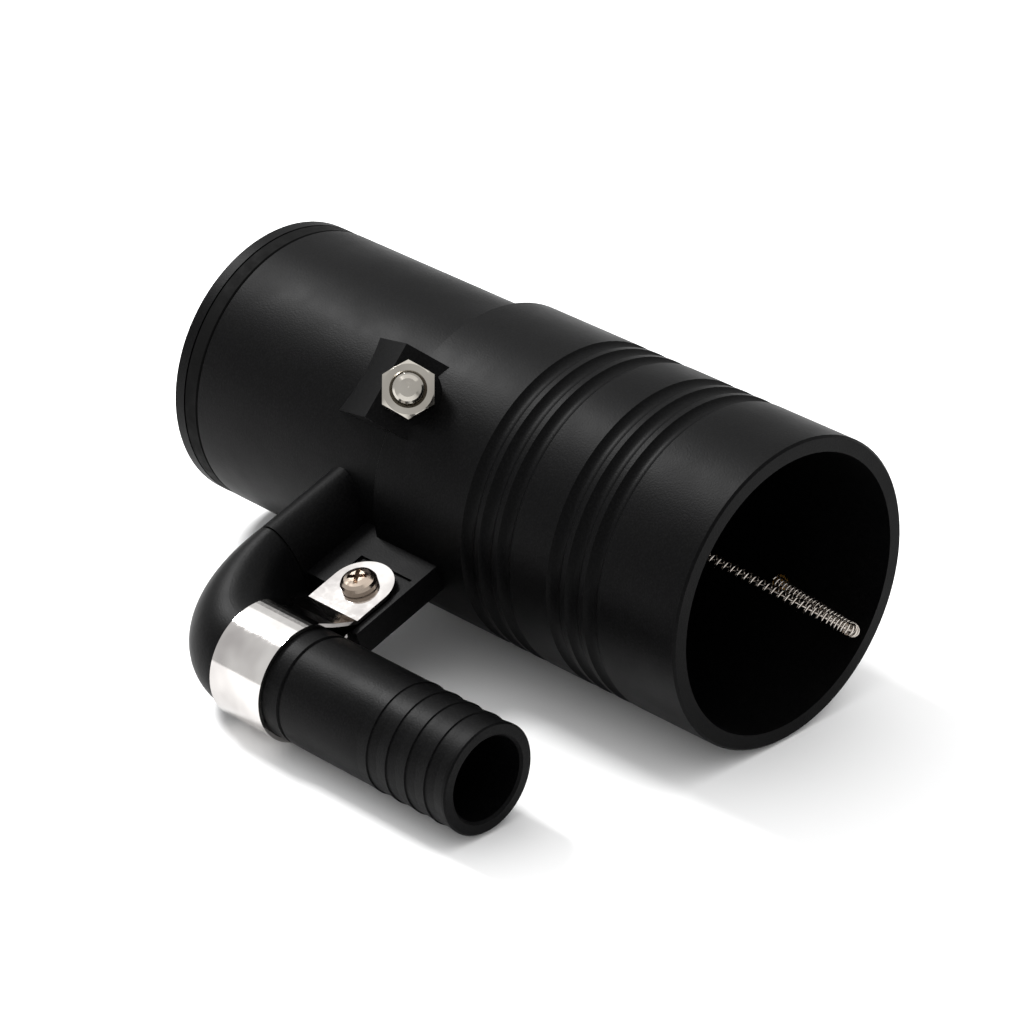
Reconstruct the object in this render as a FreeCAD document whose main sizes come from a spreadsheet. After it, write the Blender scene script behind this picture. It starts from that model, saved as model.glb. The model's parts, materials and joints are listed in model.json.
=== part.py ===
import FreeCAD, Part
import Sketcher
import math
import os

# Snorkel tube: a flanged breathing tube with a ribbed socket, a bent side connection held by a clip,
# a check flap near the inlet and an eye stud that tensions a long return spring.
#
# Drawing frame, in mm: X runs along the main tube, with the socket mouth at x = 0 and the inlet at the
# -X end. The side arm leaves the tube towards -Y and Z is square to both. Every sub-part is then laid
# over about X by lie_deg, so that the socket and the clip both rest on the plane under the part.

DIMS = {
    "lie_deg": 17.3,
    # main tube and socket
    "tube_r": 29.35, "tube_bore_r": 26.5, "sock_r": 31.5, "sock_bore_r": 28.3,
    "tube_len": 141.0, "sock_len": 80.35, "sock_depth": 72.0, "edge": 0.45,
    # grip grooves: two sets of three, each cut by a round-nosed ring
    "grip_nose": 2.21, "grip_depth": 1.0, "grip_pitch": 4.8, "grip_one": 49.35, "grip_two": 26.4,
    # inlet seal groove
    "seal_x": 134.2, "seal_wide": 3.8, "seal_deep": 2.0, "seal_gap": 0.06,
    # seat of the check flap
    "seat_x": 124.0, "seat_thick": 6.0, "ledge_r": 25.6, "seat_hole_r": 15.0, "snap_wide": 1.4,
    "snap_deep": 1.0,
    # side arm, oval across the part
    "arm_x": 91.5, "arm_a": 6.5, "arm_b": 12.0, "arm_end": 46.75, "arm_root": 20.0, "arm_wall": 1.9,
    "gasket_thick": 0.5, "gasket_inset": 0.35,
    # bent side connection
    "pivot_x": 79.0, "tail_s": 66.89, "tail_r": 11.15, "tail_bore_r": 8.5, "tail_end": 15.6,
    "barb_first": 21.1, "hose_stop": 60.0, "barb_pitch": 5.1, "barb_rise": 0.13,
    # bracket
    "plate_top": 2.7, "plate_low": 3.3, "plate_x": 63.4, "plate_s": 53.6, "recess": 0.6,
    # clip
    "clip_x": 71.85, "clip_wide": 13.7, "clip_r": 11.27, "gauge": 0.75,
    "screw_s": 44.0, "screw_r": 1.95, "head_r": 3.7, "head_high": 2.5, "insert_r": 3.0, "insert_long": 5.0,
    # stud block and tensioner
    "stud_deg": 61.0, "lean_deg": 36.0, "foot_x": 77.9, "foot_d": 33.0, "block_wide": 16.3,
    "ridge_x": 82.0, "ridge_d": 36.0, "ramp_end_x": 97.4, "ramp_end_d": 27.1, "slope_end_x": 71.0,
    "slope_end_d": 28.0,
    "stud_r": 3.0, "stud_up": 8.6, "eye_down": 16.0, "eye_r": 3.1, "eye_wire": 1.2,
    "washer_r": 4.9, "washer_thick": 0.8, "nut_half": 5.0, "nut_high": 5.0, "nut_seat_r": 6.4,
    "run_fit": 0.05, "nut_gap": 0.3,
    # return spring
    "coil_r": 1.35, "hairpin_r": 1.55, "link_r": 2.0, "link_wire": 0.4,
    "anchor_x": 22.05, "anchor_deg": 51.3, "anchor_r": 1.5,
    # check flap
    "flap_r": 17.5, "flap_thick": 2.2, "face_thick": 1.0, "flap_gap": 0.4, "hinge_z": 20.3, "hinge_x": 119.6,
    "pin_r": 1.2, "knuckle_r": 2.4, "knuckle_half": 3.2, "lug_in": 5.8, "lug_thick": 2.6,
}


class Size:
    """A length that carries its value together with the spreadsheet expression that gives it."""

    def __init__(self, value, text):
        self.value = float(value)
        self.text = text

    def __add__(self, other):
        other = size(other)
        return Size(self.value + other.value, "(%s + %s)" % (self.text, other.text))

    def __sub__(self, other):
        other = size(other)
        return Size(self.value - other.value, "(%s - %s)" % (self.text, other.text))

    def __mul__(self, other):
        other = size(other)
        return Size(self.value * other.value, "(%s * %s)" % (self.text, other.text))

    def __radd__(self, other):
        return size(other) + self

    def __rsub__(self, other):
        return size(other) - self

    def __rmul__(self, other):
        return size(other) * self

    def __neg__(self):
        return size(0) - self


def size(thing):
    """A Size from a dimension name, a number or a Size."""
    if isinstance(thing, Size):
        return thing
    if isinstance(thing, str):
        return Size(DIMS[thing], "dims." + thing)
    return Size(thing, "%.6f" % thing)


doc = FreeCAD.newDocument("snorkel_tube")
sheet = doc.addObject("Spreadsheet::Sheet", "dims")
for row, (alias, number) in enumerate(DIMS.items(), start=1):
    sheet.set("A%d" % row, alias)
    sheet.set("B%d" % row, str(number))
    sheet.setAlias("B%d" % row, alias)
doc.recompute()

NODES = {}
ALONG_X = FreeCAD.Vector(1, 0, 0)
ALONG_Z = FreeCAD.Vector(0, 0, 1)
LIE = FreeCAD.Placement(FreeCAD.Vector(0, 0, 0), FreeCAD.Rotation(ALONG_X, DIMS["lie_deg"]))


# ---------------------------------------------------------------- helpers
def vec(x, y, z=0.0):
    """A vector from numbers or Sizes."""
    return FreeCAD.Vector(size(x).value, size(y).value, size(z).value)


def bind(obj, prop, amount):
    """Tie a property of an object to the spreadsheet."""
    obj.setExpression(prop, size(amount).text)


def finish(obj, label, local=None):
    """Name a finished sub-part and put it in its place, laid over about X."""
    obj.Label = label
    obj.Placement = LIE if local is None else LIE.multiply(local)
    NODES[label] = obj


def new_body(name):
    """An empty body."""
    return doc.addObject("PartDesign::Body", name)


def origin_part(body, role):
    """One of the planes or axes a body is drawn on."""
    return [f for f in body.Origin.OriginFeatures if f.Role == role][0]


def new_sketch(body, name, role, shift=None, turn=None):
    """A sketch on a plane of the body, moved along the plane's normal or turned about its own X."""
    sketch = body.newObject("Sketcher::SketchObject", name)
    sketch.AttachmentSupport = [(origin_part(body, role), "")]
    sketch.MapMode = "FlatFace"
    if shift is not None:
        bind(sketch, "AttachmentOffset.Base.z", shift)
    if turn is not None:
        sketch.AttachmentOffset = FreeCAD.Placement(FreeCAD.Vector(0, 0, 0),
            FreeCAD.Rotation(ALONG_X, size(turn).value))
    sketch.Visibility = False
    return sketch


def hold(sketch, kind, arguments, amount):
    """Add a constraint whose value comes from the spreadsheet."""
    amount = size(amount)
    index = sketch.addConstraint(Sketcher.Constraint(kind, *arguments, amount.value))
    sketch.setExpression("Constraints[%d]" % index, amount.text)


def hold_point(sketch, line, end, point):
    """Hold one point of a sketch line at a bound place."""
    hold(sketch, "DistanceX", (-1, 1, line, end), point[0])
    hold(sketch, "DistanceY", (-1, 1, line, end), point[1])


def draw_outline(sketch, points):
    """A closed straight-sided outline."""
    first = sketch.GeometryCount
    count = len(points)
    corners = [vec(*p) for p in points]
    for i in range(count):
        sketch.addGeometry(Part.LineSegment(corners[i], corners[(i + 1) % count]), False)
    for i in range(count):
        sketch.addConstraint(Sketcher.Constraint("Coincident", first + i, 2, first + (i + 1) % count, 1))
    for i in range(count):
        hold_point(sketch, first + i, 1, points[i])


def draw_circle(sketch, centre, radius):
    """A circle with a bound centre and radius."""
    circle = sketch.addGeometry(Part.Circle(vec(*centre), ALONG_Z, size(radius).value), False)
    hold_point(sketch, circle, 3, centre)
    hold(sketch, "Radius", (circle,), radius)


def draw_oval(sketch, centre, half_wide, half_high):
    """An upright ellipse, taller than it is wide."""
    mid = vec(*centre)
    top = mid + vec(0, half_high)
    side = mid + vec(half_wide, 0)
    oval = sketch.addGeometry(Part.Ellipse(top, side, mid), False)
    long_line = sketch.addGeometry(Part.LineSegment(top, mid - vec(0, half_high)), True)
    short_line = sketch.addGeometry(Part.LineSegment(side, mid - vec(half_wide, 0)), True)
    sketch.addConstraint(Sketcher.Constraint("InternalAlignment:EllipseMajorDiameter", long_line, oval))
    sketch.addConstraint(Sketcher.Constraint("InternalAlignment:EllipseMinorDiameter", short_line, oval))
    hold_point(sketch, oval, 3, centre)
    sketch.addConstraint(Sketcher.Constraint("Vertical", long_line))
    hold(sketch, "Distance", (long_line,), 2 * size(half_high))
    hold(sketch, "Distance", (short_line,), 2 * size(half_wide))


def must_shrink(body, before, what):
    """A cut that took nothing away points the wrong way."""
    if not body.Shape.Volume < before - 0.001:
        raise RuntimeError(what + " removed nothing")


def turn_about_x(body, name, draw, cut=False):
    """Turn an outline about the X axis, adding or cutting; draw puts the outline into the sketch."""
    before = body.Shape.Volume if cut else 0.0
    sketch = new_sketch(body, name + "_outline", "XY_Plane")
    draw(sketch)
    feature = body.newObject("PartDesign::Groove" if cut else "PartDesign::Revolution", name)
    feature.Profile = sketch
    feature.ReferenceAxis = (sketch, ["H_Axis"])
    feature.Angle = 360.0
    doc.recompute()
    if cut:
        must_shrink(body, before, name)
    return feature


def turned(body, name, points, cut=False):
    """A lathe-turned or lathe-cut shape from (along X, out from X) points."""
    return turn_about_x(body, name, lambda sketch: draw_outline(sketch, points), cut)


def extruded(body, name, sketch, length, cut=False, middle=False, back=False):
    """Pad or pocket a sketch by a bound length."""
    before = body.Shape.Volume if cut else 0.0
    feature = body.newObject("PartDesign::Pocket" if cut else "PartDesign::Pad", name)
    feature.Profile = sketch
    feature.Midplane = middle
    feature.Reversed = back
    bind(feature, "Length", length)
    doc.recompute()
    if cut:
        must_shrink(body, before, name)
    return feature


def drilled(body, name, frame, radius, depth):
    """A round hole that starts at a frame and runs along the frame's own Z."""
    before = body.Shape.Volume
    cutter = body.newObject("PartDesign::SubtractiveCylinder", name)
    cutter.AttachmentSupport = [(origin_part(body, "XY_Plane"), "")]
    cutter.MapMode = "FlatFace"
    cutter.AttachmentOffset = frame
    bind(cutter, "Radius", radius)
    bind(cutter, "Height", depth)
    doc.recompute()
    must_shrink(body, before, name)


def radial(angle_deg):
    """The direction square to X at an angle up from -Y."""
    angle = math.radians(angle_deg)
    return FreeCAD.Vector(0, -math.cos(angle), math.sin(angle))


def frame_on(base, direction):
    """A frame at base whose Z runs along direction."""
    return FreeCAD.Placement(base, FreeCAD.Rotation(ALONG_Z, direction))


def lathe_frame(base, direction, roll=0.0):
    """The place of a sub-part drawn along X that stands at base along direction."""
    spin = FreeCAD.Rotation(ALONG_X, direction).multiply(FreeCAD.Rotation(ALONG_X, roll))
    return FreeCAD.Placement(base, spin)


LEAN = math.radians(DIMS["lean_deg"])
STUD_DIR = radial(DIMS["stud_deg"]) * math.cos(LEAN) + ALONG_X * math.sin(LEAN)
STUD_FOOT = radial(DIMS["stud_deg"]) * DIMS["foot_d"] - ALONG_X * DIMS["foot_x"]
ANCHOR_DIR = FreeCAD.Vector(0, math.cos(math.radians(DIMS["anchor_deg"])),
    -math.sin(math.radians(DIMS["anchor_deg"])))
ANCHOR_BASE = FreeCAD.Vector(-DIMS["anchor_x"], 0, 0)
SCREW_BASE = FreeCAD.Vector(-DIMS["clip_x"], -DIMS["screw_s"], 0)


# ---------------------------------------------------------------- main tube
def make_tube():
    """The moulded body: tube, socket, stud block, side arm and bracket."""
    body = new_body("tube")
    tube_r, sock_r, length, edge = size("tube_r"), size("sock_r"), size("tube_len"), size("edge")
    turned(body, "outer_wall", [
        (-length, 0), (-length, tube_r - edge), (edge - length, tube_r), (-size("sock_len"), tube_r),
        (-size("sock_len"), sock_r - 0.2), (0.2 - size("sock_len"), sock_r), (-edge, sock_r),
        (0, sock_r - edge), (0, 0)])
    # gabled stud block: a long ramp towards the inlet and a steep slope that carries the nut
    sketch = new_sketch(body, "block_outline", "XY_Plane", turn=180.0 - size("stud_deg"))
    draw_outline(sketch, [
        (-size("ramp_end_x"), 24.0), (-size("ramp_end_x"), "ramp_end_d"), (-size("ridge_x"), "ridge_d"),
        (-size("slope_end_x"), "slope_end_d"), (-size("slope_end_x"), 24.0)])
    extruded(body, "block", sketch, "block_wide", middle=True)
    # side arm
    sketch = new_sketch(body, "arm_outline", "XZ_Plane", shift="arm_root")
    draw_oval(sketch, (-size("arm_x"), 0), "arm_a", "arm_b")
    extruded(body, "arm", sketch, size("arm_end") - size("arm_root"))
    # bracket that carries the clip
    sketch = new_sketch(body, "plate_outline", "XY_Plane", shift=-size("plate_low"))
    draw_outline(sketch, [
        (-size("arm_x"), -size("arm_root")), (-size("arm_x"), 0.7 - size("arm_end")),
        (1.4 - size("pivot_x"), 0.7 - size("arm_end")),
        (1.4 - size("pivot_x"), -size("plate_s")), (-size("plate_x"), -size("plate_s")),
        (-size("plate_x"), -size("arm_root"))])
    extruded(body, "plate", sketch, size("plate_top") + size("plate_low"))
    sketch = new_sketch(body, "recess_outline", "XY_Plane", shift=size("plate_top") + 1.0)
    half, clip_x = size("clip_wide") * 0.5 + 0.2, size("clip_x")
    low_s = size("screw_s") - size("clip_wide") * 0.5 - 0.3
    draw_outline(sketch, [
        (-clip_x - half, -low_s), (-clip_x + half, -low_s), (-clip_x + half, -size("plate_s") - 1.0),
        (-clip_x - half, -size("plate_s") - 1.0)])
    extruded(body, "recess", sketch, size("recess") + 1.0, cut=True)
    # bores of the tube and the socket, with the ledge and the snap ring groove of the flap seat
    bore_r, seat = size("tube_bore_r"), size("seat_x")
    back = seat + size("seat_thick")
    turned(body, "bores", [
        (-length - 1.0, 0), (-length - 1.0, bore_r + 0.5), (-length, bore_r + 0.5), (0.5 - length, bore_r),
        (-back - size("snap_wide"), bore_r), (-back - size("snap_wide"), bore_r + size("snap_deep")),
        (-back, bore_r + size("snap_deep")), (-back, bore_r), (-seat, bore_r), (-seat, "ledge_r"),
        (2.0 - seat, "ledge_r"), (3.0 - seat, bore_r), (-size("sock_depth"), bore_r),
        (-size("sock_depth"), "sock_bore_r"), (1.0, "sock_bore_r"), (1.0, 0)], cut=True)
    sketch = new_sketch(body, "duct_outline", "XZ_Plane", shift="arm_root")
    draw_oval(sketch, (-size("arm_x"), 0), size("arm_a") - size("arm_wall"), size("arm_b") - size("arm_wall"))
    extruded(body, "duct", sketch, size("arm_end") - size("arm_root") + 1.0, cut=True, back=True)
    # inlet seal groove with one broken edge
    seal_x, floor_r = size("seal_x"), size("tube_r") - size("seal_deep")
    turned(body, "seal_groove", [
        (-seal_x - size("seal_wide"), floor_r), (-seal_x, floor_r), (-seal_x, tube_r - 0.35),
        (0.45 - seal_x, tube_r + 0.1),
        (0.45 - seal_x, tube_r + 1.0), (-seal_x - size("seal_wide"), tube_r + 1.0)], cut=True)
    # grip grooves
    for name in ("grip_one", "grip_two"):
        centre = (-size(name) - size("grip_pitch"), sock_r - size("grip_depth") + size("grip_nose"))
        ring = turn_about_x(body, name, lambda sketch: draw_circle(sketch, centre, "grip_nose"), cut=True)
        before = body.Shape.Volume
        pattern = body.newObject("PartDesign::LinearPattern", name + "_set")
        pattern.Originals = [ring]
        pattern.Direction = (origin_part(body, "X_Axis"), [""])
        bind(pattern, "Length", 2 * size("grip_pitch"))
        pattern.Occurrences = 3
        body.Tip = pattern
        doc.recompute()
        must_shrink(body, before, name + "_set")
    # holes for the tensioner, its seal, the clip insert and the spring anchor
    drilled(body, "stud_hole", frame_on(STUD_FOOT - STUD_DIR * 14.0, STUD_DIR), size("stud_r") + 0.4, 18.0)
    drilled(body, "stud_seal_hole", frame_on(STUD_FOOT - STUD_DIR * 2.0, STUD_DIR), size("stud_r") + 1.6, 4.0)
    drilled(body, "nut_seat", frame_on(STUD_FOOT, STUD_DIR), "nut_seat_r", 8.0)
    insert_place = SCREW_BASE + ALONG_Z * (DIMS["plate_top"] - DIMS["recess"] - DIMS["insert_long"])
    drilled(body, "insert_hole", frame_on(insert_place, ALONG_Z), "insert_r", 7.0)
    drilled(body, "anchor_hole", frame_on(ANCHOR_BASE + ANCHOR_DIR * 27.0, ANCHOR_DIR), "anchor_r", 3.0)
    finish(body, "tube_body")


def make_ring(name, points, place=None):
    """A plain lathe-turned sub-part."""
    body = new_body(name + "_turning")
    turned(body, name + "_shape", points)
    finish(body, name, place)
    return body


def make_inlet_seal():
    """Rubber band let in flush behind the inlet lip."""
    gap = size("seal_gap")
    low, high = -size("seal_x") - size("seal_wide") + gap, -size("seal_x") - gap
    inner = size("tube_r") - size("seal_deep") + gap
    outer = size("tube_r") - 0.05
    make_ring("inlet_seal_ring", [
        (low, inner), (high, inner), (high, outer - 0.3), (high - 0.3, outer), (low + 0.3, outer),
        (low, outer - 0.3)])


# ---------------------------------------------------------------- check flap
def make_seat():
    """Ring with a raised lip for the flap and two lugs for its pin, held against a ledge in the tube."""
    body = new_body("seat")
    face, back = -size("seat_x"), -size("seat_x") - size("seat_thick")
    outer, hole = size("tube_bore_r") - 0.08, size("seat_hole_r")
    turned(body, "seat_ring", [
        (back + 0.05, hole + 1.0), (back + 1.0, hole), (face + 0.6, hole), (face + 0.6, hole + 1.4),
        (face - 0.05, hole + 1.9),
        (face - 0.05, outer - 0.4), (face - 0.45, outer), (back + 0.05, outer)])
    for name, sign in (("lug_near", -1), ("lug_far", 1)):
        sketch = new_sketch(body, name + "_outline", "XZ_Plane",
            shift=sign * (size("lug_in") + size("lug_thick") * 0.5))
        pin_x, pin_z, reach = -size("hinge_x"), size("hinge_z"), size("knuckle_r") + 0.1
        draw_outline(sketch, [
            (face - 2.0, pin_z - reach), (pin_x + 1.2, pin_z - reach), (pin_x + reach, pin_z - 1.2),
            (pin_x + reach, pin_z + 1.2), (pin_x + 1.2, pin_z + reach), (face - 2.0, pin_z + reach)])
        extruded(body, name, sketch, "lug_thick", middle=True)
    sketch = new_sketch(body, "pin_hole_outline", "XZ_Plane", shift=-15.0)
    draw_circle(sketch, (-size("hinge_x"), "hinge_z"), size("pin_r") + 0.02)
    extruded(body, "pin_hole", sketch, 30.0, cut=True, back=True)
    finish(body, "valve_seat_ring")


def make_snap_ring():
    """Open spring ring that keeps the seat against its ledge."""
    body = new_body("snap_ring_turning")
    start = -size("seat_x") - size("seat_thick")
    bore_r = size("tube_bore_r")
    turned(body, "snap_ring_shape", [
        (start - 1.2, bore_r - 1.6), (start - 0.1, bore_r - 1.6), (start - 0.1, bore_r + 0.8),
        (start - 1.2, bore_r + 0.8)])
    sketch = new_sketch(body, "snap_ring_gap", "YZ_Plane", shift=start + 1.0)
    draw_outline(sketch, [(-3.0, -30.0), (3.0, -30.0), (3.0, -20.0), (-3.0, -20.0)])
    extruded(body, "snap_ring_opening", sketch, 4.0, cut=True)
    finish(body, "seat_snap_ring")


def flap_back():
    """Where the flap's seat side stands along X."""
    return -size("seat_x") + 0.6 + size("flap_gap") + size("face_thick")


def make_flap():
    """Round flap with a knuckle that turns on the hinge pin."""
    body = new_body("flap")
    back = flap_back()
    front = back + size("flap_thick")
    turned(body, "flap_disc_shape", [
        (back, 1.7), (back, size("flap_r")), (front - 0.8, size("flap_r")), (front, size("flap_r") - 0.8),
        (front, size("flap_r") - 3.0), (front - 0.9, size("flap_r") - 4.0), (front - 0.9, 4.6),
        (front, 4.0), (front, 1.7)])
    sketch = new_sketch(body, "knuckle_outline", "XZ_Plane")
    draw_circle(sketch, (-size("hinge_x"), "hinge_z"), "knuckle_r")
    extruded(body, "knuckle", sketch, 2 * size("knuckle_half"), middle=True)
    sketch = new_sketch(body, "neck_outline", "XZ_Plane")
    draw_outline(sketch, [
        (back, size("flap_r") - 3.0), (front, size("flap_r") - 3.0),
        (1.6 - size("hinge_x"), size("hinge_z") - 1.0),
        (-1.4 - size("hinge_x"), size("hinge_z") - 1.0), (back, size("flap_r") - 0.6)])
    extruded(body, "neck", sketch, 2 * size("knuckle_half"), middle=True)
    sketch = new_sketch(body, "knuckle_hole_outline", "XZ_Plane", shift=-6.0)
    draw_circle(sketch, (-size("hinge_x"), "hinge_z"), size("pin_r") + size("run_fit"))
    extruded(body, "knuckle_hole", sketch, 12.0, cut=True, back=True)
    finish(body, "flap_disc")


def make_flap_facing():
    """Rubber facing, its clamp washer and the rivet that holds both to the flap."""
    back = flap_back()
    face = back - size("face_thick")
    make_ring("flap_facing", [(face, 1.7), (face, size("flap_r") - 0.3),
        (back - 0.02, size("flap_r") - 0.3), (back - 0.02, 1.7)])
    make_ring("facing_washer", [
        (face - 0.82, 1.7), (face - 0.82, 5.6), (face - 0.42, 6.0), (face - 0.02, 6.0), (face - 0.02, 1.7)])
    tail = back + size("flap_thick")
    make_ring("flap_rivet", [
        (face - 1.84, 0), (face - 1.84, 2.0), (face - 1.3, 2.8), (face - 0.84, 3.0), (face - 0.84, 1.65),
        (tail + 0.02, 1.65), (tail + 0.02, 2.6), (tail + 0.5, 2.4), (tail + 0.9, 1.5), (tail + 0.9, 0)])


def make_hinge_pin():
    """Pin through both lugs, with a head at one end."""
    half = size("lug_in") + size("lug_thick")
    place = lathe_frame(vec(-size("hinge_x"), 0, "hinge_z"), FreeCAD.Vector(0, 1, 0))
    pin_r = size("pin_r")
    make_ring("hinge_pin", [
        (-half - 0.9, 0), (-half - 0.9, pin_r + 0.5), (-half - 0.6, pin_r + 0.8), (-half - 0.02, pin_r + 0.8),
        (-half - 0.02, pin_r), (half + 0.4, pin_r), (half + 0.8, pin_r - 0.4), (half + 0.8, 0)], place)


def make_hinge_spring():
    """Small wound spring beside the knuckle, that brings the flap back to its seat."""
    body = new_body("hinge_spring_winding")
    sketch = new_sketch(body, "hinge_spring_wire", "XY_Plane")
    draw_circle(sketch, (1.75, 0), 0.25)
    helix = body.newObject("PartDesign::AdditiveHelix", "hinge_spring_coils")
    helix.Profile = sketch
    helix.ReferenceAxis = (sketch, ["V_Axis"])
    helix.Mode = 0
    helix.Pitch = 0.58
    helix.Height = 1.74
    doc.recompute()
    place = FreeCAD.Placement(vec(-size("hinge_x"), 3.63, "hinge_z"), FreeCAD.Rotation())
    finish(body, "hinge_spring", place)


# ---------------------------------------------------------------- bent side connection
def make_bend(name, arm_wall, tail_wall, lead_in, lead_out):
    """A solid swept round the bend from an oval to a circle; the walls make it smaller for the duct."""
    body = new_body(name)
    seam = size("arm_end") + size("gasket_thick")
    arm_x, pivot_x, tail_s = size("arm_x"), size("pivot_x"), size("tail_s")
    path = new_sketch(body, name + "_path", "XY_Plane")
    if lead_in:
        path.addGeometry(Part.LineSegment(vec(-arm_x, lead_in - seam), vec(-arm_x, -seam)), False)
    middle = vec(-pivot_x, -seam)
    curve = Part.Ellipse(vec(-pivot_x, -tail_s), vec(-arm_x, -seam), middle)
    path.addGeometry(Part.ArcOfEllipse(curve, 0.0, math.pi / 2), False)
    path.addGeometry(Part.LineSegment(vec(-pivot_x, -tail_s), vec(lead_out - pivot_x, -tail_s)), False)
    ovals = []
    for index, back in enumerate((lead_in, 0) if lead_in else (0,)):
        oval = new_sketch(body, "%s_oval_%d" % (name, index), "XZ_Plane", shift=seam - back)
        draw_oval(oval, (-arm_x, 0), size("arm_a") - arm_wall, size("arm_b") - arm_wall)
        ovals.append(oval)
    for index, front in enumerate((0, lead_out)):
        ring = new_sketch(body, "%s_round_%d" % (name, index), "YZ_Plane", shift=front - pivot_x)
        draw_oval(ring, (-tail_s, 0), size("tail_r") - tail_wall - 0.005, size("tail_r") - tail_wall)
        ovals.append(ring)
    pipe = body.newObject("PartDesign::AdditivePipe", name + "_sweep")
    pipe.Profile = ovals[0]
    pipe.Spine = (path, [])
    pipe.Transformation = "Multisection"
    pipe.Sections = ovals[1:]
    doc.recompute()
    return body


def tail_turning(name, points):
    """A turned length of the tail, moved out to the tail's own axis."""
    body = new_body(name)
    turned(body, name + "_shape", points)
    body.Placement = FreeCAD.Placement(vec(0, -size("tail_s"), 0), FreeCAD.Rotation())
    return body


def make_elbow_tail():
    """The bent connection: oval at the seam, round at the tail, with fine barbs near its mouth."""
    start, mouth, radius = 4.0 - size("pivot_x"), -size("tail_end"), size("tail_r") - 0.02
    stop = -size("hose_stop")
    outline = [(start, 0), (start, radius), (stop - 1.0, radius), (stop - 0.7, radius - 0.4),
        (stop - 0.3, radius - 0.4), (stop, radius)]
    crest, root = size("tail_r") + size("barb_rise"), size("tail_r") - size("barb_rise")
    for step in (3, 2, 1, 0):
        barb = -size("barb_first") - step * size("barb_pitch")
        outline += [(barb - 2.6, root if step < 3 else radius), (barb, crest), (barb + 0.12, root)]
    outline += [(mouth - 3.0, root), (mouth - 0.9, radius + 0.1), (mouth - 0.3, radius + 0.1),
        (mouth, radius - 0.2), (mouth, 0)]
    bore_r = size("tail_bore_r") + 0.02
    outer = doc.addObject("Part::MultiFuse", "connection_outside")
    outer.Shapes = [make_bend("bend_outside", 0, 0, 0, 8.0), tail_turning("tail_outside", outline)]
    inner = doc.addObject("Part::MultiFuse", "connection_duct")
    duct_wall = size("tail_r") - size("tail_bore_r")
    inner.Shapes = [make_bend("bend_duct", "arm_wall", duct_wall, 1.5, 8.5), tail_turning("tail_duct", [
        (start, 0), (start, bore_r), (mouth - 0.5, bore_r), (mouth, bore_r + 0.5),
        (mouth + 1.0, bore_r + 0.5), (mouth + 1.0, 0)])]
    shell = doc.addObject("Part::Cut", "connection")
    shell.Base = outer
    shell.Tool = inner
    doc.recompute()
    finish(shell, "elbow_tail")


def make_arm_gasket():
    """Thin oval gasket between the arm and the bent connection."""
    body = new_body("gasket")
    sketch = new_sketch(body, "gasket_outline", "XZ_Plane", shift=size("arm_end") + 0.02)
    inset, wall = size("gasket_inset"), size("arm_wall")
    draw_oval(sketch, (-size("arm_x"), 0), size("arm_a") - inset, size("arm_b") - inset)
    draw_oval(sketch, (-size("arm_x"), 0), size("arm_a") - wall, size("arm_b") - wall)
    extruded(body, "gasket_pad", sketch, size("gasket_thick") - 0.04)
    finish(body, "arm_gasket")


# ---------------------------------------------------------------- clip
def ribbon(middle, gauge):
    """Outline of a bent strip of even gauge that follows a middle line."""
    left, right = [], []
    for i, (s, n) in enumerate(middle):
        before = middle[max(i - 1, 0)]
        after = middle[min(i + 1, len(middle) - 1)]
        run, rise = after[0] - before[0], after[1] - before[1]
        length = math.hypot(run, rise)
        left.append((s - rise / length * gauge / 2, n + run / length * gauge / 2))
        right.append((s + rise / length * gauge / 2, n - run / length * gauge / 2))
    return left + right[::-1]


def make_tongue(body, name, low, s_end):
    """One round-ended layer of the clip on the bracket."""
    sketch = new_sketch(body, name + "_outline", "XY_Plane", shift=low)
    half, x, s = size("clip_wide") * 0.5, -size("clip_x"), size("screw_s")
    draw_outline(sketch, [(x - half, -s), (x + half, -s), (x + half, -size(s_end)), (x - half, -size(s_end))])
    extruded(body, name, sketch, "gauge")
    sketch = new_sketch(body, name + "_round_outline", "XY_Plane", shift=low)
    draw_circle(sketch, (x, -s), half)
    extruded(body, name + "_round", sketch, "gauge")


def wrapped(angles, thick):
    """Middle line of the strap where it still lies round the tail, as (across, up) points."""
    turn_r = DIMS["clip_r"] + thick / 2 + 0.03
    return [(DIMS["tail_s"] - turn_r * math.cos(math.radians(a)),
        turn_r * math.sin(math.radians(a))) for a in angles]


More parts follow.
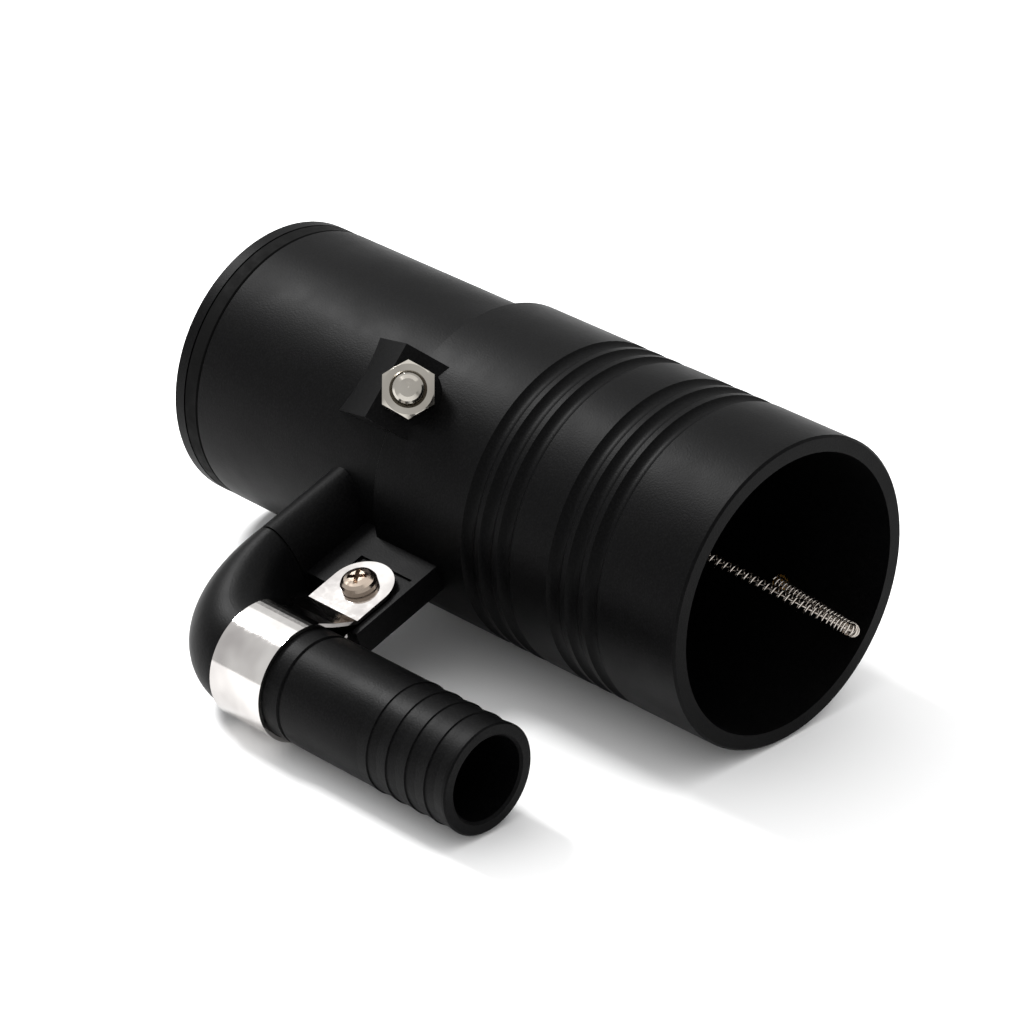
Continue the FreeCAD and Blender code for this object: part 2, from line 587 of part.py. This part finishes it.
def make_clip():
    """Strap clip: once round the tail, with both ends lying on the bracket under the screw."""
    body = new_body("strap")
    gauge, wide, tail_s = size("gauge"), size("clip_wide"), size("tail_s")
    sketch = new_sketch(body, "loop_outline", "YZ_Plane", shift=-size("clip_x"))
    draw_circle(sketch, (-tail_s, 0), "clip_r")
    draw_circle(sketch, (-tail_s, 0), size("clip_r") + gauge)
    extruded(body, "loop", sketch, wide, middle=True)
    sketch = new_sketch(body, "loop_gap_outline", "YZ_Plane", shift=-size("clip_x"))
    far = 16.0
    draw_outline(sketch, [
        (-tail_s, 0), (-tail_s + far * math.cos(math.radians(12.0)), far * math.sin(math.radians(12.0))),
        (-tail_s + far, far), (-tail_s + far * math.cos(math.radians(66.0)),
        far * math.sin(math.radians(66.0)))])
    extruded(body, "loop_gap", sketch, wide + 2.0, cut=True, middle=True)
    low = size("plate_top") - size("recess") + 0.03
    upper = low + gauge + 0.1
    thick = DIMS["gauge"]
    top_leg = wrapped((72, 67, 62, 57, 52), thick)
    top_leg += [(56.9, 6.9), (54.1, 5.0), (51.6, upper.value + thick / 2), (50.0, upper.value + thick / 2)]
    low_leg = wrapped((4, 8, 11), thick)
    low_leg += [(54.6, low.value + thick / 2), (53.2, low.value + thick / 2)]
    for name, middle in (("top_leg", top_leg), ("low_leg", low_leg)):
        sketch = new_sketch(body, name + "_outline", "YZ_Plane", shift=-size("clip_x"))
        draw_outline(sketch, [(-s, n) for s, n in ribbon(middle, thick)])
        extruded(body, name, sketch, wide, middle=True)
    make_tongue(body, "upper_tongue", upper, 50.4)
    make_tongue(body, "lower_tongue", low, 53.6)
    drilled(body, "screw_hole", frame_on(SCREW_BASE, ALONG_Z), size("screw_r") + 0.25, 8.0)
    finish(body, "clip_strap")


def make_clip_screw():
    """Pan head screw with a cross recess."""
    body = new_body("screw")
    head_r, shank, high = size("head_r"), size("screw_r"), size("head_high")
    turned(body, "screw_shape", [
        (-6.3, 0), (-6.3, shank - 0.6), (-5.7, shank), (0, shank), (0, head_r - 0.15), (0.2, head_r),
        (1.1, head_r),
        (1.7, head_r - 0.35), (2.15, head_r - 1.0), (high, head_r - 2.1), (high, 0)])
    sketch = new_sketch(body, "cross_outline", "YZ_Plane", shift=high + 0.5)
    thin, wide = 0.45, 2.0
    draw_outline(sketch, [
        (-wide, -thin), (-thin, -thin), (-thin, -wide), (thin, -wide), (thin, -thin), (wide, -thin),
        (wide, thin), (thin, thin), (thin, wide), (-thin, wide), (-thin, thin), (-wide, thin)])
    extruded(body, "cross", sketch, 2.1, cut=True)
    top = DIMS["plate_top"] - DIMS["recess"] + 0.03 + 2 * DIMS["gauge"] + 0.1
    finish(body, "clip_screw", lathe_frame(SCREW_BASE + ALONG_Z * (top + 0.02), ALONG_Z, 35.0))


def make_clip_insert():
    """Grooved brass sleeve in the bracket that takes the screw."""
    long, outer, hole = size("insert_long"), size("insert_r") - 0.03, size("screw_r") + 0.03
    place = lathe_frame(SCREW_BASE + ALONG_Z * (DIMS["plate_top"] - DIMS["recess"] - DIMS["insert_long"]),
        ALONG_Z)
    make_ring("clip_insert", [
        (0.05, hole), (0.05, outer), (1.4, outer), (1.6, outer - 0.3), (2.0, outer - 0.3), (2.2, outer),
        (3.2, outer),
        (3.4, outer - 0.3), (3.8, outer - 0.3), (4.0, outer), (long - 0.05, outer), (long - 0.05, hole)],
        place)


# ---------------------------------------------------------------- tensioner
EYE = STUD_FOOT - STUD_DIR * DIMS["eye_down"]
FAR_POINT = FreeCAD.Vector(-2.2, 12.9, -20.0)
ANCHOR_TIP = ANCHOR_BASE + ANCHOR_DIR * 24.65


def spring_frame():
    """Frame at the eye with X along the first run of the spring and the anchor on its +Y side."""
    run = (FAR_POINT - EYE).normalize()
    side = (ANCHOR_TIP - EYE) - run * (ANCHOR_TIP - EYE).dot(run)
    return FreeCAD.Placement(EYE, FreeCAD.Rotation(run, side, run.cross(side), "XYZ"))


def make_stud():
    """Threaded stud with a closed eye at its inner end, drawn along X from its foot on the block."""
    body = new_body("stud")
    stud_r, top, eye_x = size("stud_r"), size("stud_up"), -size("eye_down")
    start = eye_x + size("eye_r")
    turned(body, "shank", [
        (start - 0.5, 0), (start - 0.5, 1.4), (start + 2.0, stud_r), (top - 1.3, stud_r),
        (top - 0.8, stud_r - 0.4),
        (top - 0.3, stud_r - 1.2), (top, 0)])
    sketch = new_sketch(body, "eye_outline", "XY_Plane")
    draw_circle(sketch, (eye_x - size("eye_r"), 0), "eye_wire")
    line = sketch.addGeometry(Part.LineSegment(vec(eye_x, -3.0), vec(eye_x, 3.0)), True)
    sketch.addConstraint(Sketcher.Constraint("Vertical", line))
    hold_point(sketch, line, 1, (eye_x, -3.0))
    eye = body.newObject("PartDesign::Revolution", "eye")
    eye.Profile = sketch
    eye.ReferenceAxis = (sketch, ["Axis0"])
    eye.Angle = 360.0
    doc.recompute()
    finish(body, "eye_stud", FreeCAD.Placement(STUD_FOOT, stud_turn()))


def stud_turn():
    """Turn of the stud that brings the plane of its eye onto the first run of the spring."""
    run = spring_frame().Rotation.multVec(ALONG_X)
    across = run - STUD_DIR * run.dot(STUD_DIR)
    return FreeCAD.Rotation(STUD_DIR, STUD_DIR.cross(across), across, "XYZ")


def make_stud_washer():
    """Flat washer on the block."""
    place = lathe_frame(STUD_FOOT, STUD_DIR)
    thick, outer = size("washer_thick"), size("washer_r")
    make_ring("stud_washer", [
        (0.02, size("stud_r") + 0.35), (0.02, outer), (thick - 0.15, outer), (thick, outer - 0.15),
        (thick, size("stud_r") + 0.35)], place)


def make_stud_seal():
    """Rubber ring round the stud, let into the block under the washer."""
    place = lathe_frame(STUD_FOOT - STUD_DIR * 2.0, STUD_DIR)
    inner, outer = size("stud_r") + size("run_fit"), size("stud_r") + 1.55
    make_ring("stud_seal", [
        (0.05, inner + 0.3), (0.05, outer - 0.3), (0.35, outer), (1.55, outer), (1.85, outer - 0.3),
        (1.85, inner + 0.3),
        (1.55, inner), (0.35, inner)], place)


def make_nut():
    """Hexagon nut with both faces chamfered."""
    body = new_body("nut")
    high, half = size("nut_high"), size("nut_half")
    reach = half * (1.0 / math.cos(math.radians(30.0)))
    corners = [(reach * math.cos(math.radians(60 * k)),
        reach * math.sin(math.radians(60 * k))) for k in range(6)]
    sketch = new_sketch(body, "hexagon_outline", "YZ_Plane")
    draw_outline(sketch, corners)
    extruded(body, "hexagon", sketch, high)
    for name, end, sign in (("chamfer_low", size(0), 1), ("chamfer_high", high, -1)):
        turned(body, name, [
            (end, half - 0.1), (end + sign * 0.75, reach + 0.2), (end - sign * 0.5, reach + 0.2),
            (end - sign * 0.5, half - 0.1)], cut=True)
    hole = size("stud_r") + size("run_fit")
    turned(body, "thread_hole", [
        (-0.5, 0), (-0.5, hole + 0.6), (0, hole + 0.6), (0.6, hole), (high - 0.6, hole), (high, hole + 0.6),
        (high + 0.5, hole + 0.6), (high + 0.5, 0)], cut=True)
    base = STUD_FOOT + STUD_DIR * (DIMS["washer_thick"] + DIMS["nut_gap"])
    lie = math.radians(DIMS["lie_deg"])
    upright = FreeCAD.Vector(0, math.sin(lie), math.cos(lie))
    turn = FreeCAD.Rotation(STUD_DIR, upright, STUD_DIR.cross(upright), "XYZ")
    finish(body, "stud_nut", FreeCAD.Placement(base, turn))


# ---------------------------------------------------------------- return spring
def make_link():
    """Small ring that joins the spring's end to the eye of the stud."""
    body = new_body("link")
    sketch = new_sketch(body, "link_outline", "XZ_Plane")
    middle = size("eye_r") + 0.2
    draw_circle(sketch, (middle + size("link_r"), 0), "link_wire")
    line = sketch.addGeometry(Part.LineSegment(vec(middle, -3.0), vec(middle, 3.0)), True)
    sketch.addConstraint(Sketcher.Constraint("Vertical", line))
    hold_point(sketch, line, 1, (middle, -3.0))
    ring = body.newObject("PartDesign::Revolution", "link_ring")
    ring.Profile = sketch
    ring.ReferenceAxis = (sketch, ["Axis0"])
    ring.Angle = 360.0
    doc.recompute()
    across = spring_frame().Rotation.multVec(ALONG_X)
    square = STUD_DIR.cross(across).normalize()
    turn = FreeCAD.Rotation(across, square, across.cross(square), "XZY")
    finish(body, "spring_link", FreeCAD.Placement(EYE, turn))


def make_spring():
    """Close-wound spring as its outer sleeve: out along the first run, round a hairpin, back to the anchor."""
    body = new_body("spring")
    frame = spring_frame()
    inside = frame.inverse()
    far = inside.multVec(FAR_POINT).x
    tip = inside.multVec(ANCHOR_TIP)
    turn_r, start = DIMS["hairpin_r"], DIMS["eye_r"] + 0.2 + DIMS["link_r"] + DIMS["link_wire"] + 0.6
    # the second run leaves the hairpin at the tangent that meets the anchor
    centre = FreeCAD.Vector(far, turn_r, 0)
    away = tip - centre
    swing = math.atan2(away.y, away.x) - math.acos(turn_r / away.Length)
    leave = centre + FreeCAD.Vector(math.cos(swing), math.sin(swing), 0) * turn_r
    path = new_sketch(body, "spring_path", "XY_Plane")
    path.addGeometry(Part.LineSegment(vec(start, 0), vec(far, 0)), False)
    path.addGeometry(Part.ArcOfCircle(Part.Circle(centre, ALONG_Z, turn_r), -math.pi / 2, swing), False)
    path.addGeometry(Part.LineSegment(leave, tip), False)
    for a, b in ((0, 1), (1, 2)):
        path.addConstraint(Sketcher.Constraint("Coincident", a, 2, b, 1))
    wire = new_sketch(body, "spring_section", "YZ_Plane", shift=start)
    draw_circle(wire, (0, 0), "coil_r")
    pipe = body.newObject("PartDesign::AdditivePipe", "spring_sleeve")
    pipe.Profile = wire
    pipe.Spine = (path, [])
    doc.recompute()
    finish(body, "return_spring", frame)


def make_anchor():
    """Brass peg in the socket wall that holds the spring's far end."""
    place = lathe_frame(ANCHOR_BASE + ANCHOR_DIR * 26.4, ANCHOR_DIR)
    radius = size("anchor_r") - 0.04
    make_ring("spring_anchor", [
        (-0.2, 0), (-0.2, radius + 0.2), (0.1, radius + 0.4), (0.5, radius + 0.4), (0.5, radius),
        (3.5, radius), (3.5, 0)], place)


# ---------------------------------------------------------------- build, check and write
make_tube()
make_inlet_seal()
make_seat()
make_snap_ring()
make_flap()
make_flap_facing()
make_hinge_pin()
make_hinge_spring()
make_elbow_tail()
make_arm_gasket()
make_clip()
make_clip_screw()
make_clip_insert()
make_stud()
make_stud_washer()
make_stud_seal()
make_nut()
make_link()
make_spring()
make_anchor()
doc.recompute()

os.makedirs("parts", exist_ok=True)
for thing in doc.Objects:
    if "Invalid" in thing.State or "Error" in thing.State:
        raise RuntimeError("%s did not build" % thing.Label)
for label, thing in NODES.items():
    if thing.Shape.isNull() or not thing.Shape.isValid():
        raise RuntimeError("%s has a bad shape" % label)
    thing.Shape.exportStep("parts/%s.step" % label)
    box = thing.Shape.BoundBox
    print("%-18s %d solid, %.1f mm3, x %.2f..%.2f y %.2f..%.2f z %.2f..%.2f" % (
        label, len(thing.Shape.Solids), thing.Shape.Volume, box.XMin, box.XMax, box.YMin, box.YMax,
        box.ZMin, box.ZMax))
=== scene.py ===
import json
import math

import bpy
from mathutils import Matrix, Vector


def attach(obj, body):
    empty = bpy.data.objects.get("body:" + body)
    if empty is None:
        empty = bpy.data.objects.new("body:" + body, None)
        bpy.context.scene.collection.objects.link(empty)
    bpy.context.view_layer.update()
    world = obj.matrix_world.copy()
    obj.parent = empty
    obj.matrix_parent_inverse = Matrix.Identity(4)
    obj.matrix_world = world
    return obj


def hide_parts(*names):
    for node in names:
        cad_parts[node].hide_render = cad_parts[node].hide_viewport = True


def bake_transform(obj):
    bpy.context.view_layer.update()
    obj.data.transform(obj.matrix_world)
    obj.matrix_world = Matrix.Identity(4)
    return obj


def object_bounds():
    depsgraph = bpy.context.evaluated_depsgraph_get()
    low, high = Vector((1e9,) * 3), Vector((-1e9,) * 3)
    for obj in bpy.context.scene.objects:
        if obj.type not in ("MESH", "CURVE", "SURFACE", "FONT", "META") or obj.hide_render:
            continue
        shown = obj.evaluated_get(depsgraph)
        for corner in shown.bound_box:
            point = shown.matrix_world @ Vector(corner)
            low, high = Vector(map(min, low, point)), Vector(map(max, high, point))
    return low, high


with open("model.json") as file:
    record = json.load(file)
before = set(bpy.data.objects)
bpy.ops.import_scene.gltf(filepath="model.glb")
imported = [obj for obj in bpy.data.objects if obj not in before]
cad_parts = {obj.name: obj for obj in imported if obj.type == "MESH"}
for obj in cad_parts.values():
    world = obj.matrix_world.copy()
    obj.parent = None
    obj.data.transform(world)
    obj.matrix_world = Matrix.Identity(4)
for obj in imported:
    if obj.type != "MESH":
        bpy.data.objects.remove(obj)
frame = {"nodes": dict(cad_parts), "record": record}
NODES = frame["nodes"]
JOINTS = {joint["name"]: joint for joint in frame["record"]["behaviour"]["joints"]}
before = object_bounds()

MM = 0.001
BLACK_GLOSS = 0.055
FINE_GRAIN = 0.00002


# ---------------------------------------------------------------- node helpers
def new_material(name):
    """A material with an empty node tree apart from its output and one shader."""
    material = bpy.data.materials.new(name)
    material.use_nodes = True
    tree = material.node_tree
    tree.nodes.clear()
    output = tree.nodes.new("ShaderNodeOutputMaterial")
    shader = tree.nodes.new("ShaderNodeBsdfPrincipled")
    tree.links.new(shader.outputs["BSDF"], output.inputs["Surface"])
    return material, tree, shader


def object_point(tree):
    """The point on the object, in metres, along its own axes."""
    return tree.nodes.new("ShaderNodeTexCoord").outputs["Object"]


def noise(tree, point, scale, detail=3.0, rough=0.55):
    """Noise of so many cells per metre."""
    node = tree.nodes.new("ShaderNodeTexNoise")
    node.inputs["Scale"].default_value = scale
    node.inputs["Detail"].default_value = detail
    node.inputs["Roughness"].default_value = rough
    tree.links.new(point, node.inputs["Vector"])
    return node.outputs["Fac"]


def ramp(tree, value, stops):
    """Colours or greys laid along a value."""
    node = tree.nodes.new("ShaderNodeValToRGB")
    while len(node.color_ramp.elements) < len(stops):
        node.color_ramp.elements.new(0.5)
    for element, (place, shade) in zip(node.color_ramp.elements, stops):
        element.position = place
        element.color = (*shade, 1.0) if isinstance(shade, tuple) else (shade, shade, shade, 1.0)
    tree.links.new(value, node.inputs["Fac"])
    return node.outputs["Color"]


def bump(tree, shader, height, distance, strength=1.0):
    """Raise and sink the surface by a height."""
    node = tree.nodes.new("ShaderNodeBump")
    node.inputs["Distance"].default_value = distance
    node.inputs["Strength"].default_value = strength
    tree.links.new(height, node.inputs["Height"])
    tree.links.new(node.outputs["Normal"], shader.inputs["Normal"])


def moulded(name, dark, pale, rough_low, rough_high, grain=2600.0, depth=0.00006, specular=0.35):
    """Moulded plastic with a fine speckled grain and slightly uneven gloss."""
    material, tree, shader = new_material(name)
    point = object_point(tree)
    speckle = noise(tree, point, grain, 2.0, 0.6)
    patch = noise(tree, point, 55.0, 3.0)
    tree.links.new(ramp(tree, speckle, [(0.42, dark), (0.72, pale)]), shader.inputs["Base Color"])
    tree.links.new(ramp(tree, patch, [(0.3, rough_low), (0.7, rough_high)]), shader.inputs["Roughness"])
    shader.inputs["Specular IOR Level"].default_value = specular
    bump(tree, shader, speckle, depth, 0.6)
    return material


def metal(name, low, high, rough_low, rough_high, scale=900.0, depth=0.000004):
    """Bare or plated metal with faint uneven colour and gloss."""
    material, tree, shader = new_material(name)
    point = object_point(tree)
    fine = noise(tree, point, scale, 3.0)
    broad = noise(tree, point, scale / 9.0, 2.0)
    tree.links.new(ramp(tree, broad, [(0.3, low), (0.7, high)]), shader.inputs["Base Color"])
    tree.links.new(ramp(tree, fine, [(0.3, rough_low), (0.75, rough_high)]), shader.inputs["Roughness"])
    shader.inputs["Metallic"].default_value = 1.0
    bump(tree, shader, fine, depth, 0.5)
    return material


def rubber(name, shade):
    """Matt black rubber with a faint bloom."""
    material, tree, shader = new_material(name)
    point = object_point(tree)
    bloom = noise(tree, point, 420.0, 4.0)
    tree.links.new(ramp(tree, bloom, [(0.35, shade), (0.75, shade * 2.2)]), shader.inputs["Base Color"])
    tree.links.new(ramp(tree, bloom, [(0.3, 0.62), (0.7, 0.8)]), shader.inputs["Roughness"])
    shader.inputs["Specular IOR Level"].default_value = 0.06
    bump(tree, shader, noise(tree, point, 3000.0, 2.0), 0.00003, 0.5)
    return material


# ---------------------------------------------------------------- finishes
FINISH = {
    "moulded_black": moulded("moulded_black_grain", (0.0006, 0.0006, 0.0007), (0.003, 0.003, 0.0032),
                             0.40, 0.52, specular=BLACK_GLOSS),
    "connection_black": moulded("connection_black_grain", (0.0007, 0.0007, 0.0008), (0.0035, 0.0035, 0.0037),
                                0.36, 0.48, specular=BLACK_GLOSS),
    "seal_rubber": rubber("seal_rubber_bloom", 0.0008),
    "strap_chrome": metal("strap_chrome_plate", (0.42, 0.40, 0.39), (0.66, 0.64, 0.62), 0.05, 0.13),
    "screw_steel": metal("screw_steel_turned", (0.26, 0.21, 0.17), (0.42, 0.35, 0.29), 0.12, 0.24),
    "nut_nickel": metal("nut_nickel_plate", (0.30, 0.28, 0.25), (0.44, 0.42, 0.38), 0.10, 0.22),
    "spring_steel": metal("spring_steel_wire", (0.55, 0.50, 0.45), (0.72, 0.67, 0.62), 0.12, 0.25,
                          scale=2500.0),
    "brass": metal("brass_turned", (0.60, 0.30, 0.06), (0.80, 0.46, 0.12), 0.18, 0.32),
    "valve_plastic": moulded("valve_plastic_grain", (0.30, 0.31, 0.32), (0.42, 0.43, 0.44),
                             0.38, 0.5, depth=FINE_GRAIN),
    "flap_plastic": moulded("flap_plastic_grain", (0.11, 0.12, 0.13), (0.17, 0.18, 0.19),
                            0.36, 0.48, depth=FINE_GRAIN),
}
for entry in frame["record"]["subparts"]:
    node = NODES[entry["node"]]
    node.data.materials.clear()
    node.data.materials.append(FINISH[entry["material_slot"]])


# ---------------------------------------------------------------- the part's own directions
STUD_AXIS = Vector(JOINTS["nut_turn"]["axis"]).normalized()
STUD_POINT = Vector(JOINTS["nut_turn"]["pos_m"])
SIDE = -Vector(JOINTS["flap_hinge"]["axis"]).normalized()
ALONG = Vector((1.0, 0.0, 0.0))
OUT = ALONG.cross(SIDE)


def place(x, side, out):
    """A point given in mm along the tube, away from the side arm, and square to both."""
    return (ALONG * x + SIDE * side + OUT * out) * MM


def piece(name, verts, faces, slot, body):
    """A mesh piece with a finish, riding one body."""
    mesh = bpy.data.meshes.new(name)
    mesh.from_pydata([tuple(v) for v in verts], [], faces)
    mesh.validate()
    mesh.update()
    for polygon in mesh.polygons:
        polygon.use_smooth = True
    thing = bpy.data.objects.new(name, mesh)
    bpy.context.scene.collection.objects.link(thing)
    mesh.materials.append(FINISH[slot])
    if body:
        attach(thing, body)
    return thing


def wire(name, points, radius, sides, slot, body):
    """A round wire through the points, with closed ends."""
    verts, faces = [], []
    count = len(points)
    tangent = (points[1] - points[0]).normalized()
    across = tangent.orthogonal().normalized()
    for i, point in enumerate(points):
        ahead = points[min(i + 1, count - 1)]
        behind = points[max(i - 1, 0)]
        tangent = (ahead - behind).normalized()
        across = (across - tangent * across.dot(tangent)).normalized()
        other = tangent.cross(across)
        for k in range(sides):
            turn = 2.0 * math.pi * k / sides
            verts.append(point + (across * math.cos(turn) + other * math.sin(turn)) * radius)
    for i in range(count - 1):
        for k in range(sides):
            a, b = i * sides + k, i * sides + (k + 1) % sides
            faces.append((a, b, b + sides, a + sides))
    faces.append(tuple(reversed(range(sides))))
    faces.append(tuple((count - 1) * sides + k for k in range(sides)))
    return piece(name, verts, faces, slot, body)


# ---------------------------------------------------------------- return spring, wound
EYE_DOWN = 16.0 * MM
EYE = STUD_POINT - STUD_AXIS * EYE_DOWN
FAR = place(-2.2, 12.9, -20.0)
PEG_X = -22.05
PEG_OUT = 24.65
PEG_ANGLE = math.radians(51.3)
PEG = place(PEG_X, PEG_OUT * math.cos(PEG_ANGLE), -PEG_OUT * math.sin(PEG_ANGLE))
HAIRPIN = 1.55 * MM
COIL = 1.2 * MM
WIRE = 0.2 * MM


def spring_line():
    """Middle line of the spring, in even steps: out, round the hairpin and back to the peg."""
    run = (FAR - EYE).normalized()
    side = (PEG - EYE) - run * (PEG - EYE).dot(run)
    side.normalize()
    centre = FAR + side * HAIRPIN
    away = PEG - centre
    flat = Vector((away.dot(run), away.dot(side)))
    swing = math.atan2(flat.y, flat.x) - math.acos(HAIRPIN / flat.length)
    start = EYE + run * 5.8 * MM
    leave = centre + (run * math.cos(swing) + side * math.sin(swing)) * HAIRPIN
    line = []
    length = (FAR - start).length
    steps = int(length / (0.1 * MM))
    line += [start + run * (length * i / steps) for i in range(steps)]
    turn = swing + math.pi / 2
    steps = int(turn * HAIRPIN / (0.05 * MM))
    for i in range(steps):
        angle = -math.pi / 2 + turn * i / steps
        line.append(centre + (run * math.cos(angle) + side * math.sin(angle)) * HAIRPIN)
    length = (PEG - leave).length
    steps = int(length / (0.1 * MM))
    line += [leave + (PEG - leave) * (i / steps) for i in range(steps + 1)]
    return line, run.cross(side)


def wound_spring():
    """The coil wound round the middle line, open along the first run and tight at the hairpin."""
    line, square = spring_line()
    travelled = [0.0]
    for a, b in zip(line, line[1:]):
        travelled.append(travelled[-1] + (b - a).length)
    bend_at = (FAR - line[0]).length
    whole = travelled[-1]

    def pitch(at):
        before_bend = bend_at - at
        if before_bend > 9.0 * MM:
            return 1.5 * MM
        if before_bend > 0.0:
            return (0.62 + 0.88 * before_bend / (9.0 * MM)) * MM
        return (0.62 + 0.3 * min(-before_bend / (12.0 * MM), 1.0)) * MM

    points = []
    turn, at, index = 0.0, 0.0, 0
    step = 2.0 * math.pi / 14
    while at < whole:
        while index < len(line) - 2 and travelled[index + 1] < at:
            index += 1
        share = (at - travelled[index]) / (travelled[index + 1] - travelled[index])
        middle = line[index].lerp(line[index + 1], share)
        tangent = (line[index + 1] - line[index]).normalized()
        other = square.cross(tangent)
        points.append(middle + (square * math.cos(turn) + other * math.sin(turn)) * COIL)
        turn += step
        at += pitch(at) * step / (2.0 * math.pi)
    coil = wire("return_spring_coil", points, WIRE, 8, "spring_steel", None)
    core = wire("return_spring_core", line[::6] + [line[-1]], 0.28 * MM, 8, "spring_steel", None)
    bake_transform(coil)
    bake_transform(core)
    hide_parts("return_spring")


wound_spring()


# ---------------------------------------------------------------- stud thread
def stud_thread():
    """Fine screw thread on the end of the stud that stands out of the nut."""
    start = 6.15 * MM
    end = 7.3 * MM
    pitch = 1.0 * MM
    radius = 2.89 * MM
    across = STUD_AXIS.orthogonal().normalized()
    other = STUD_AXIS.cross(across)
    points = []
    turns = (end - start) / pitch
    steps = int(turns * 28)
    for i in range(steps + 1):
        angle = 2.0 * math.pi * turns * i / steps
        points.append(STUD_POINT + STUD_AXIS * (start + (end - start) * i / steps)
                      + (across * math.cos(angle) + other * math.sin(angle)) * radius)
    wire("stud_thread", points, 0.14 * MM, 6, "nut_nickel", "stud")


stud_thread()

# ---------------------------------------------------------------- floor, light and camera


def make_floor():
    """Plain pale floor under the part."""
    size = 3.0
    floor_z = before[0][2]
    mesh = bpy.data.meshes.new("floor")
    corners = [(-size, -size, floor_z), (size, -size, floor_z), (size, size, floor_z), (-size, size, floor_z)]
    mesh.from_pydata(corners, [], [(0, 1, 2, 3)])
    floor = bpy.data.objects.new("floor", mesh)
    bpy.context.scene.collection.objects.link(floor)
    material, tree, shader = new_material("floor_pale")
    cloud = noise(tree, object_point(tree), 3.0, 2.0)
    tree.links.new(ramp(tree, cloud, [(0.3, 0.95), (0.7, 0.965)]), shader.inputs["Base Color"])
    shader.inputs["Roughness"].default_value = 0.9
    shader.inputs["Specular IOR Level"].default_value = 0.1
    mesh.materials.append(material)


def add_area(name, spot, target, wide, high_m, power, shade=(1.0, 1.0, 1.0)):
    """A soft rectangular light aimed at a target."""
    data = bpy.data.lights.new(name, "AREA")
    data.shape = "RECTANGLE"
    data.size = wide
    data.size_y = high_m
    data.energy = power
    data.color = shade
    light = bpy.data.objects.new(name, data)
    light.location = spot
    light.rotation_euler = (Vector(target) - Vector(spot)).to_track_quat("-Z", "Y").to_euler()
    bpy.context.scene.collection.objects.link(light)


def make_camera():
    """Camera at three quarters to the open socket and a little above it."""
    data = bpy.data.cameras.new("camera")
    data.sensor_width = 36.0
    data.lens = 170.5
    data.clip_start = 0.05
    data.clip_end = 20.0
    camera = bpy.data.objects.new("camera", data)
    right = Vector((0.7041, 0.7101, 0.0)).normalized()
    back = Vector((0.62625, -0.62096, 0.47139)).normalized()
    up = back.cross(right).normalized()
    turn = Matrix((right, up, back)).transposed().to_4x4()
    turn.translation = Vector((0.5264, -0.5952, 0.4413))
    camera.matrix_world = turn
    bpy.context.scene.collection.objects.link(camera)
    bpy.context.scene.camera = camera


make_floor()
add_area("key", (-0.60, -0.05, 0.60), (-0.08, 0.0, 0.0), 0.2, 0.2, 7.0)
add_area("overhead", (-0.2, 0.3, 1.6), (0.0, 0.0, 0.0), 2.4, 2.4, 14.0)
make_camera()
bpy.context.scene.view_settings.view_transform = "Standard"
bpy.context.scene.view_settings.look = "None"

world = bpy.data.worlds.new("studio")
bpy.context.scene.world = world
world.use_nodes = True
world.node_tree.nodes["Background"].inputs["Color"].default_value = (1.0, 1.0, 1.0, 1.0)
world.node_tree.nodes["Background"].inputs["Strength"].default_value = 0.95
